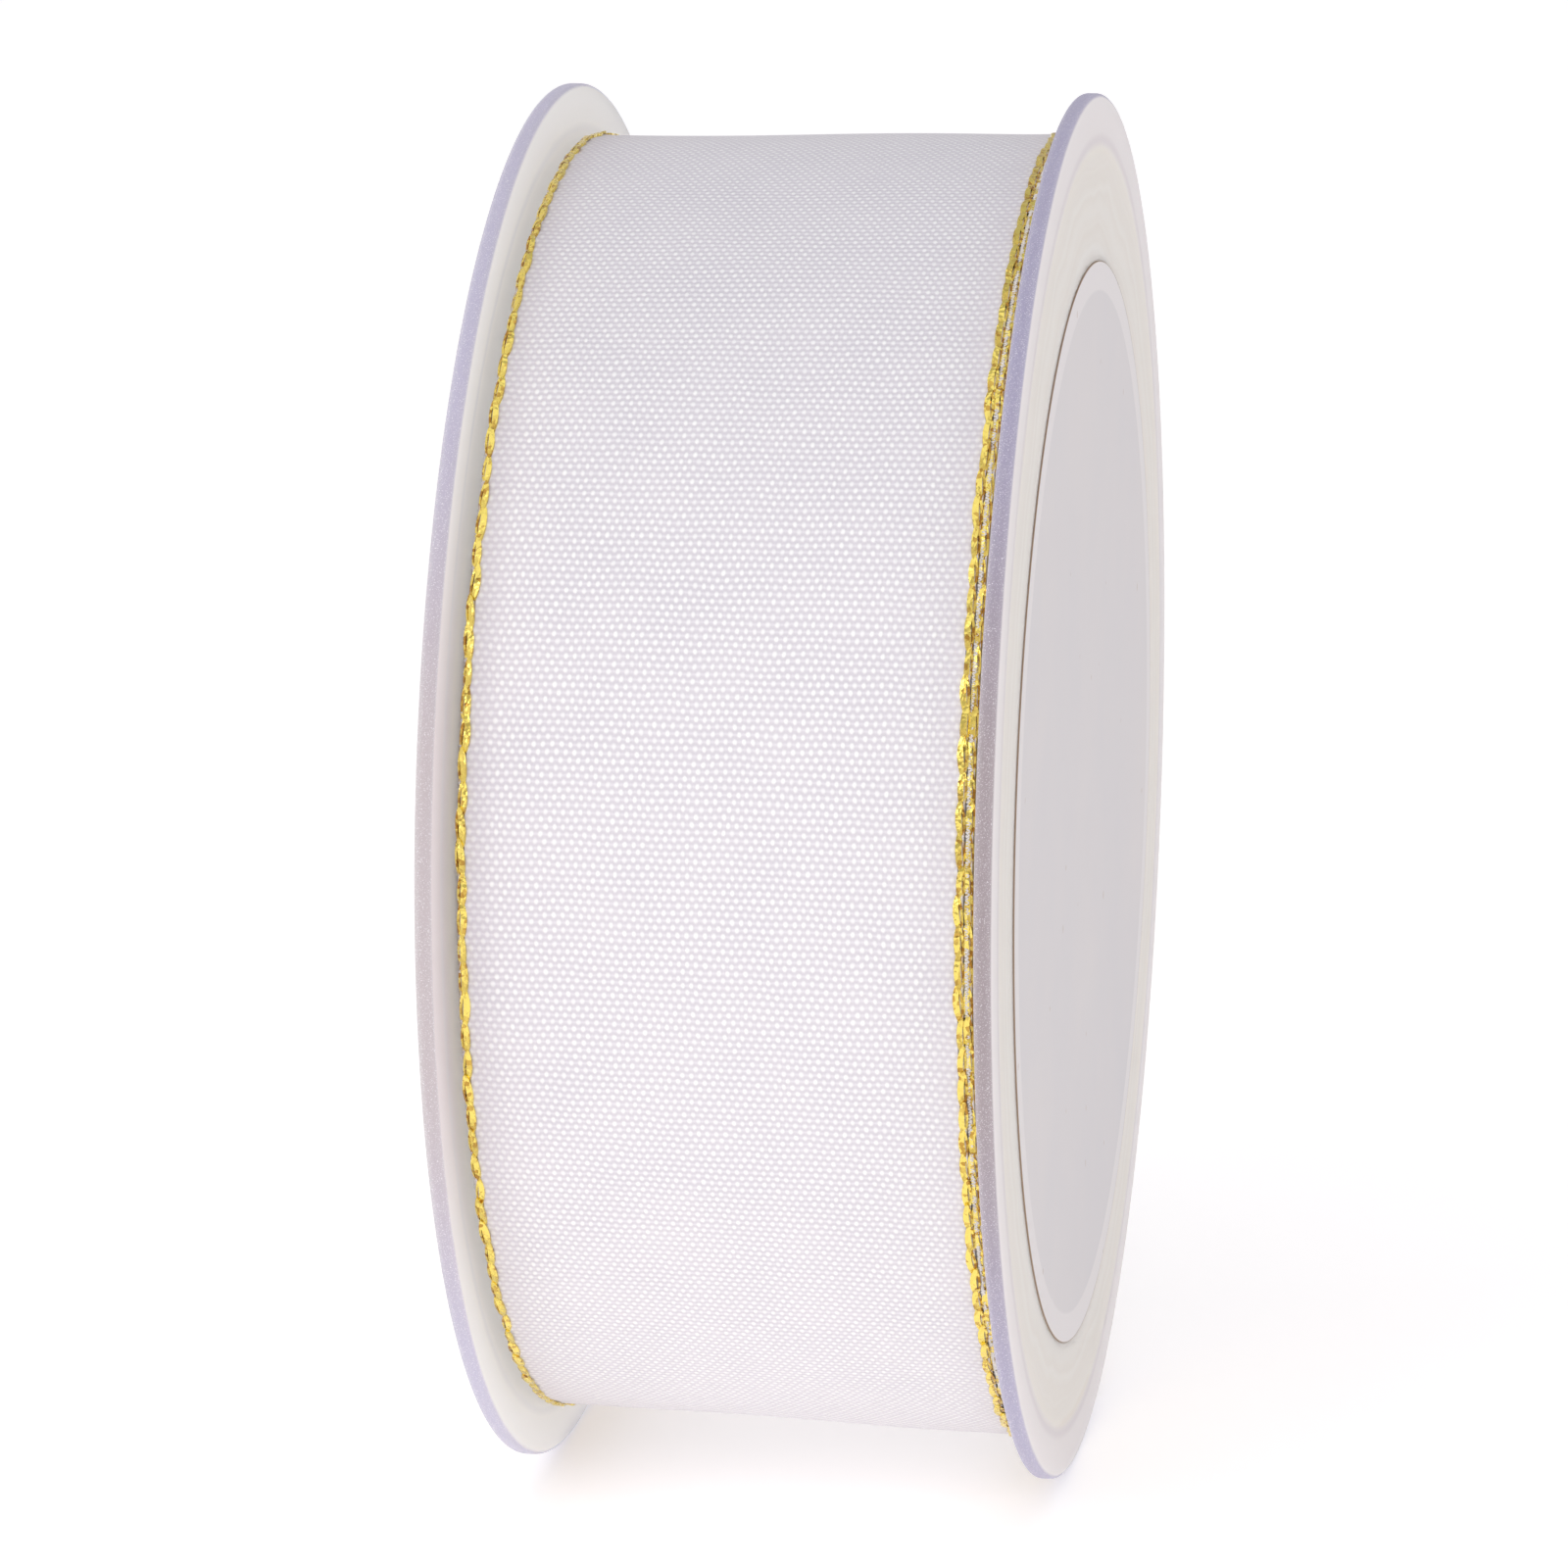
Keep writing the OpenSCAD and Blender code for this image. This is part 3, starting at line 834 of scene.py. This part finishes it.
# %% [markdown]
# ## The last two turns of cloth
# These are what one sees, so they are built as a fine grid with thickness. The stitching gathers
# the cloth slightly, which leaves small puckers beside the gold and broad soft waves in the middle.
# The waves flatten where the next turn lies on them. The piece under the free end shows when it is
# lifted, so its edges are stitched too.
# The UV map stores millimetres across and along the ribbon for the weave.

# %% Soft waves in the cloth
CLOTH_HALF = HALF_WEAVE + 0.15 * MM


def waves(x, length):
    """Height of the soft waves and puckers, always outwards, in metres."""
    from_edge = CLOTH_HALF - np.abs(x)
    inner_part = 1 - np.exp(-from_edge / (3 * MM))
    broad = 0.05 * (1 + np.sin(length / (5.3 * MM) + x / (6.1 * MM) + 0.4))
    broad = broad + 0.04 * (1 + np.sin(length / (3.1 * MM) - x / (4.7 * MM) + 2.0))
    pucker = 0.04 * (1 + np.sin(length / (0.95 * MM) + 3 * np.sin(length / (9 * MM))))
    lip = 0.06 * np.exp(-from_edge / (1.1 * MM))
    return (broad * inner_part + pucker * np.exp(-from_edge / (1.6 * MM)) + lip) * MM


def closed_sheet(name, upper, lower, material):
    """Joins two equal grids of points to a closed sheet. upper and lower are rows of columns."""
    rows, columns = upper.shape[:2]
    shift = rows * columns
    at = np.arange(shift).reshape(rows, columns)
    quads = np.stack([at[:-1, :-1], at[1:, :-1], at[1:, 1:], at[:-1, 1:]], -1).reshape(-1, 4)
    rim = [*at[:, 0], *at[-1, 1:], *at[-2::-1, -1], *at[0, -2:0:-1]]
    rim = [int(v) for v in rim]
    walls = [(a, a + shift, b + shift, b) for a, b in zip(rim, rim[1:] + rim[:1])]
    faces = [*quads.tolist(), *(quads[:, ::-1] + shift).tolist(), *walls]
    points = np.concatenate([upper.reshape(-1, 3), lower.reshape(-1, 3)])
    return mesh_object(name, points, faces, material)


# %% The cloth
COLUMNS = 56


def cloth(name, start, end):
    """A closed sheet of ribbon between two counts of turns back from the cut end."""
    rows = int((end - start) * 360) + 2
    back = np.linspace(start, end, rows)[:, None]
    x = np.linspace(-CLOTH_HALF, CLOTH_HALF, COLUMNS)[None, :]
    flattened = smooth((1 - back) / 0.06)
    top = radius_at(back) + flattened * waves(x, length_at(back))
    upper = place(x + drift_at(back), top, back)
    lower = place(x + drift_at(back), top - RIBBON_T, back)
    piece = closed_sheet(name, upper, lower, WEAVE)
    sheet_mm = np.stack(np.broadcast_arrays(x / MM, length_at(back) / MM), -1).reshape(-1, 2)
    corner = np.zeros(len(piece.data.loops), int)
    piece.data.loops.foreach_get("vertex_index", corner)
    uv = piece.data.uv_layers.new(name="cloth_mm")
    uv.data.foreach_set("uv", sheet_mm[corner % len(sheet_mm)].ravel())
    print(f"{name}: {float(length_at(end) - length_at(start)):.3f} m of ribbon")
    return piece


ribbon_under_turn = cloth("ribbon_under_turn", 1.0, INNER_FROM)
ribbon_outer_turn = cloth("ribbon_outer_turn", SEAM, 1.0)
ribbon_free_end = cloth("ribbon_free_end", 0.0, SEAM)

# %% [markdown]
# ## Gold chain stitches
# A crochet machine chains the gold yarn along each edge. Every stitch is a long loop that starts
# inside the head of the one before, 2.4 mm further on, so the chain is a row of eyes, drawn nearly
# shut. The strand on the cloth side is broad, the outer one is thin; its darker bronze is painted
# shade.
# The yarn is a flat strip, so one loop is a twisted band with four sharp edges and few faces.
# Geometry Nodes set it along the edge, each a little differently turned.

# %% One stitch
STITCH_PITCH = 2.4 * MM


def closed_ring(middle, side, up, profile, name):
    """Sweeps a small profile of (side, up) offsets round a closed loop of middle points."""
    rings, sides = len(middle), profile.shape[-2]
    profile = np.broadcast_to(profile, (rings, sides, 2))
    points = middle[:, None] + side[:, None] * profile[..., :1] + up[:, None] * profile[..., 1:]
    faces = []
    for i in range(rings):
        for k in range(sides):
            a, b = i * sides, (i + 1) % rings * sides
            j = (k + 1) % sides
            faces.append((a + k, a + j, b + j, b + k))
    return mesh_object(name, points.reshape(-1, 3), faces, crease=25)


def gold_loop(name, cloth_side):
    """A closed loop of flat strip, lying along +Y. Its thick strand lies towards the cloth."""
    t = np.arange(16) * math.tau / 16
    near = np.clip(np.sin(t), 0, 1)
    wide = (0.22 - 0.02 * near) * MM
    along = STITCH_PITCH * (0.5 - 0.64 * np.cos(t))
    rise = (0.08 * (0.5 - 0.5 * np.cos(t)) + 0.08 * np.sin(t) ** 2 + 0.08 * near**2) * MM
    bulge = wide * np.sin(t) * np.abs(np.sin(t)) ** 0.9
    middle = np.stack([bulge, along, rise], -1)
    ahead = np.roll(middle, -1, 0) - np.roll(middle, 1, 0)
    ahead /= np.linalg.norm(ahead, axis=1)[:, None]
    side = np.cross(ahead, [0.0, 0.0, 1.0])
    side /= np.linalg.norm(side, axis=1)[:, None]
    up = np.cross(side, ahead)
    twist = (0.3 * np.sin(t) + 0.35 * np.sin(2 * t + 0.8))[:, None]
    flat = ((0.1 + 0.14 * near) * MM)[:, None]
    thick = ((0.07 + 0.05 * near) * MM)[:, None]
    x, y = flat * [1, -1, -1, 1], thick * [1, 1, -1, -1]
    profile = [x * np.cos(twist) - y * np.sin(twist), x * np.sin(twist) + y * np.cos(twist)]
    loop = closed_ring(middle, side, up, np.stack(profile, -1), name)
    # The outer strand is marked, and the gold material paints it darker bronze as shade.
    strand = loop.data.attributes.new("far_strand", "FLOAT", "POINT")
    strand.data.foreach_set("value", np.repeat(np.clip(-3 * np.sin(t), 0, 1), 4))
    if cloth_side < 0:
        loop.data.transform(Matrix.Scale(-1, 4, (1, 0, 0)))
        loop.data.flip_normals()
    return loop


STITCHES = {-1: gold_loop("gold_loop_left", 1), 1: gold_loop("gold_loop_right", -1)}

# %% [markdown]
# The tree that repeats a shape along an edge: the chain of points becomes a curve, the curve is
# cut into equal steps, and each step gets one copy that faces along it.

# %% Copies along an edge


def chain_tree():
    """Sets copies of an object along the host's chain of points, facing along it."""
    sockets = {"Pitch": "Float", "Copy": "Object", "Lean": "Vector", "Size change": "Float"}
    sockets = {**sockets, "Seed": "Int", "Material": "Material"}
    tree, given = start_tree("copies_along_an_edge", sockets)
    path = add(tree, "GeometryNodeMeshToCurve", [given["Geometry"]])
    step = {"Curve": path, "Length": given["Pitch"]}
    spaced = add(tree, "GeometryNodeCurveToPoints", step, mode="LENGTH").node.outputs
    axes = {0: spaced["Tangent"], 1: (1.0, 0.0, 0.0)}
    names = {"primary_axis": "Y", "secondary_axis": "X"}
    facing = add(tree, "FunctionNodeAxesToRotation", axes, **names)
    shape = add(tree, "GeometryNodeObjectInfo", {"Object": given["Copy"]}, out="Geometry")
    least = add(tree, "ShaderNodeMath", [1.0, given["Size change"]], operation="SUBTRACT")
    most = add(tree, "ShaderNodeMath", [1.0, given["Size change"]], operation="ADD")
    size = add(tree, "FunctionNodeRandomValue", {2: least, 3: most, 8: given["Seed"]}, 1)
    spread = {"Points": spaced["Points"], "Instance": shape, "Rotation": facing, "Scale": size}
    copies = add(tree, "GeometryNodeInstanceOnPoints", spread)
    negated = {0: given["Lean"], "Scale": -1.0}
    other_way = add(tree, "ShaderNodeVectorMath", negated, operation="SCALE")
    ends = {0: other_way, 1: given["Lean"], 8: given["Seed"]}
    lean = add(tree, "FunctionNodeRandomValue", ends, data_type="FLOAT_VECTOR")
    leaning = {"Instances": copies, "Rotation": lean}
    return end_tree(tree, add(tree, "GeometryNodeRotateInstances", leaning), given["Material"])


CHAIN_TREE = chain_tree()


def chain(name, copy, x, height, start, end, pitch, lean, change, seed, material):
    """A row of copies along one edge of the ribbon, laid towards the cut end."""
    path = strip_path(name, x, height, end, start, 360)
    values = {"Pitch": pitch, "Copy": copy, "Lean": lean, "Size change": change}
    return run_nodes(path, CHAIN_TREE, {**values, "Seed": seed, "Material": material})


# %% Gold stitches on both edges
GOLD_HEIGHT = 0.06 * MM
LOOP_LEAN = (0.04, 0.22, 0.07)
CUT = 0.002


def stitches(name, side, start, end, seed):
    """Gold loops on one edge."""
    run = (side * EDGE_X, GOLD_HEIGHT, start, end, STITCH_PITCH)
    return chain(name, STITCHES[side], *run, LOOP_LEAN, 0.1, seed, GOLD)


gold_outer_left = stitches("gold_stitches_left", -1, SEAM, 1.0 + SEAM, 3)
gold_outer_right = stitches("gold_stitches_right", 1, SEAM, INNER_FROM, 5)
gold_end_left = stitches("gold_end_left", -1, CUT, SEAM, 7)
gold_end_right = stitches("gold_end_right", 1, CUT, SEAM, 9)

# %% [markdown]
# ## Selvedge
# The gold loops are chained round a white core thread, which shows in their eyes. Outside them the
# weft turns back in tiny loops, two for each row of the weave, which show as a dotted white fringe.

# %% Core thread inside the stitches


def core_thread(name, side, start, end):
    """The white thread that the loops hold."""
    shape = (0.36 * MM, 0.2 * MM, THREAD)
    return swept(name, side * EDGE_X, 0.1 * MM, start, end, 180, *shape)


thread_left = core_thread("edge_thread_left", -1, SEAM, 1.0 + SEAM)
thread_right = core_thread("edge_thread_right", 1, SEAM, INNER_FROM)
thread_end_left = core_thread("edge_thread_end_left", -1, CUT, SEAM)
thread_end_right = core_thread("edge_thread_end_right", 1, CUT, SEAM)

# %% Weft loops
FRINGE_STEP = WEFT_STEP / 2 * MM


def weft_loop(name, side):
    """A half ring of thread that stands out sideways."""
    bends, sides = 5, 4
    reach, rise, thick = 0.26 * MM, 0.1 * MM, 0.08 * MM
    points = []
    for t in np.linspace(0, math.pi, bends):
        out = np.array([math.sin(t), math.cos(t), 0.0])
        centre = out * (reach, rise, 0)
        for turn in np.arange(sides) * math.tau / sides:
            point = centre + thick * (out * math.cos(turn) + np.array([0, 0, math.sin(turn)]))
            points.append(point * (side, 1, 1))
    faces = []
    for i in range(bends - 1):
        for k in range(sides):
            a, b, j = i * sides, (i + 1) * sides, (k + 1) % sides
            faces.append((a + k, b + k, b + j, a + j))
    faces += [tuple(range(sides)), tuple(range(bends * sides - 1, (bends - 1) * sides - 1, -1))]
    if side < 0:
        faces = [face[::-1] for face in faces]
    return mesh_object(name, points, faces, crease=180)


LOOPS = {1: weft_loop("weft_loop_right", 1), -1: weft_loop("weft_loop_left", -1)}


def selvedge(name, side, start, end, seed):
    """The fringe of weft loops on one edge."""
    inset = 0.08 * MM if side > 0 else 0.5 * MM
    run = (side * (HALF_RIBBON - inset), 0.1 * MM, start, end, FRINGE_STEP)
    return chain(name, LOOPS[side], *run, (0.0, 0.3, 0.3), 0.25, seed, THREAD)


selvedge_left = selvedge("selvedge_left", -1, SEAM, 1.0 + SEAM, 11)
selvedge_right = selvedge("selvedge_right", 1, SEAM, INNER_FROM, 13)
selvedge_end_left = selvedge("selvedge_end_left", -1, CUT, SEAM, 15)
selvedge_end_right = selvedge("selvedge_end_right", 1, CUT, SEAM, 17)
for helper in (*STITCHES.values(), *LOOPS.values()):
    bpy.data.objects.remove(helper)

# %% [markdown]
# ## Tapes
# A strip of clear tape holds the cut end down. It lies on the ribbon, steps down over the cut and
# runs on over the turn below. A strip under the first turn holds the inner end to the core.

# %% Tape strips


def tape(name, angles, heights, half_width, thickness):
    """A closed strip across the spool that follows these heights at these angles."""
    x = np.linspace(-half_width, half_width, 9)[None, :]
    back = ((np.array(angles) - TIP) / math.tau)[:, None]
    low = np.array(heights)[:, None]
    return closed_sheet(name, place(x, low + thickness, back), place(x, low, back), FILM)


tape_from, tape_to = sector("end_tape")
tape_angles = np.linspace(tape_from, tape_to, 60)
climb = smooth((tape_angles - TIP + 0.012) / 0.016)
below_cut = radius_at(1.0) + 0.2 * MM
on_top = radius_at(0.0) + 0.2 * MM
tape_heights = below_cut + (on_top - below_cut) * climb
end_tape = tape("end_tape_film", tape_angles, tape_heights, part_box("end_tape")[1].x, 0.05 * MM)

core_tape_in, core_tape_out = radii("core_tape")
core_angles = np.linspace(*sector("core_tape"), 16)
core_heights = [core_tape_in + 0.005 * MM] * len(core_angles)
core_tape_t = core_tape_out - core_tape_in - 0.01 * MM
core_tape = tape("core_tape_film", core_angles, core_heights, HALF_WEAVE, core_tape_t)

# %% [markdown]
# ## Fasten the pieces to the frame
# What is wound or moulded rides on the spool. The pieces of the free end stay where they lie and
# ride on no body; the tape rides on the free end.

# %% Bodies, slots and CAD nodes that are replaced
spool_pieces = {
    flange_left: ("frosted_plastic", "left_flange"),
    flange_right: ("frosted_plastic", "right_flange"),
    core_tube: ("core_plastic", "core_tube"),
    core_tape: ("clear_tape", "core_tape"),
    ribbon_turns: ("white_ribbon", "ribbon_winding"),
    ribbon_under_turn: ("white_ribbon", "ribbon_winding"),
    ribbon_outer_turn: ("white_ribbon", "ribbon_winding"),
    gold_turns_left: ("gold_yarn", "gold_edge_left"),
    gold_turns_right: ("gold_yarn", "gold_edge_right"),
    gold_outer_left: ("gold_yarn", "gold_edge_left"),
    gold_outer_right: ("gold_yarn", "gold_edge_right"),
    thread_left: ("white_ribbon", "gold_edge_left"),
    thread_right: ("white_ribbon", "gold_edge_right"),
    selvedge_left: ("white_ribbon", "gold_edge_left"),
    selvedge_right: ("white_ribbon", "gold_edge_right"),
    label_left: ("label_paper", "left_label"),
    label_right: ("label_paper", "right_label"),
}
end_pieces = {
    ribbon_free_end: ("white_ribbon", "ribbon_end"),
    gold_end_left: ("gold_yarn", "end_gold_left"),
    gold_end_right: ("gold_yarn", "end_gold_right"),
    thread_end_left: ("white_ribbon", "end_gold_left"),
    thread_end_right: ("white_ribbon", "end_gold_right"),
    selvedge_end_left: ("white_ribbon", "end_gold_left"),
    selvedge_end_right: ("white_ribbon", "end_gold_right"),
}
for piece, (slot_name, node) in {**spool_pieces, **end_pieces}.items():
    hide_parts(node)
for piece in spool_pieces:
    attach(piece, "spool")
for piece in end_pieces:
    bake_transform(piece)
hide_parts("end_tape")
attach(end_tape, "free_end")
